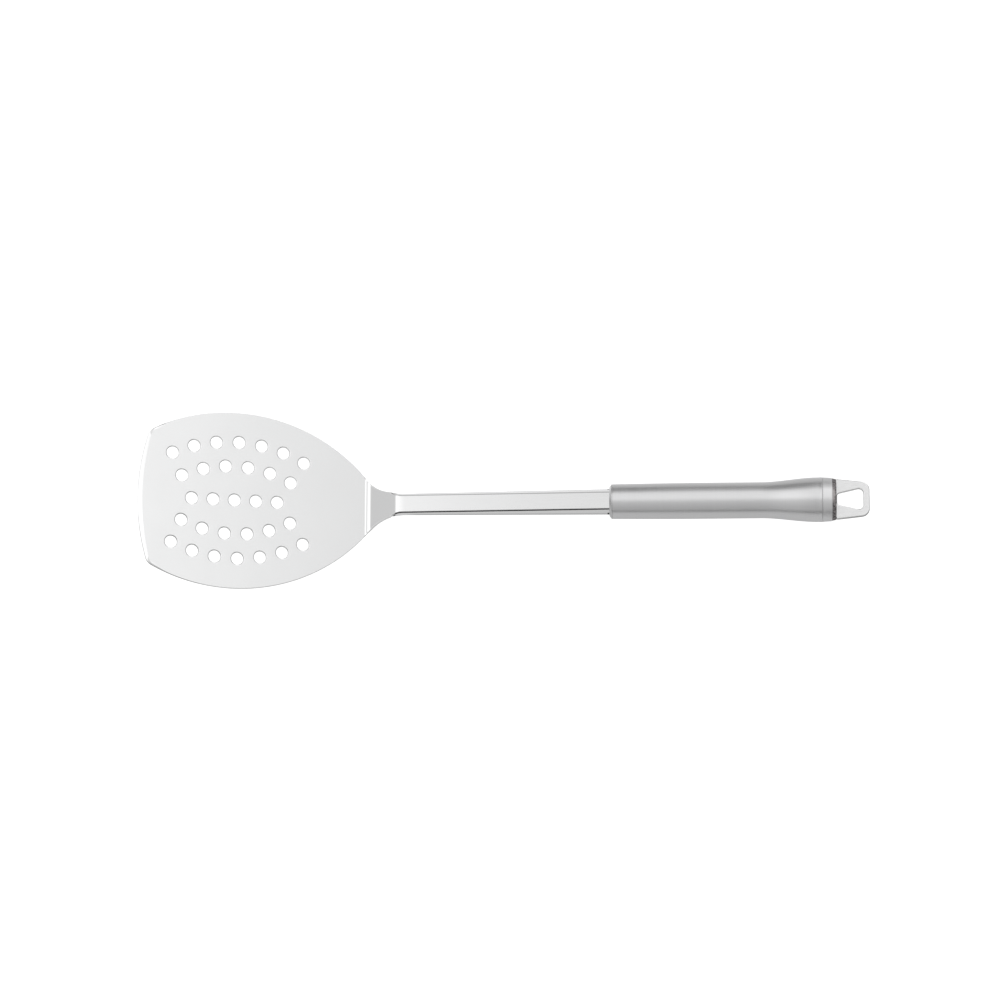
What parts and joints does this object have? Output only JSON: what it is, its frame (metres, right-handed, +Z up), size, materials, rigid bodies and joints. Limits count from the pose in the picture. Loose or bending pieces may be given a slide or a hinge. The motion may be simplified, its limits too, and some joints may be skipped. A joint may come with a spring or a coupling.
{
  "type": "perforated turner",
  "caption": "Stainless turner with a perforated flat blade, cranked channel stem, hollow flared handle and flat hanging eye, for lifting and draining food.",
  "frame": {"origin": "on the table plane, under the middle of the tool's box, with the tool lying as it is put down", "axes": "+X along the tool toward the hanging eye, +Y to the left of someone who looks that way, +Z up from the table"},
  "size_m": [0.3636, 0.0898, 0.0322],
  "materials": {
    "blade_steel": "fine polished",
    "stem_steel": "polished",
    "plug_steel": "turned and polished",
    "handle_steel": "satin, brushed round the handle",
    "cap_steel": "satin",
    "eye_steel": "polished"
  },
  "bodies": {
    "root": {"blade": "blade_steel", "stem": "stem_steel", "front_plug": "plug_steel", "handle_tube": "handle_steel", "end_cap": "cap_steel", "hanging_eye": "eye_steel"}
  },
  "joints": []
}
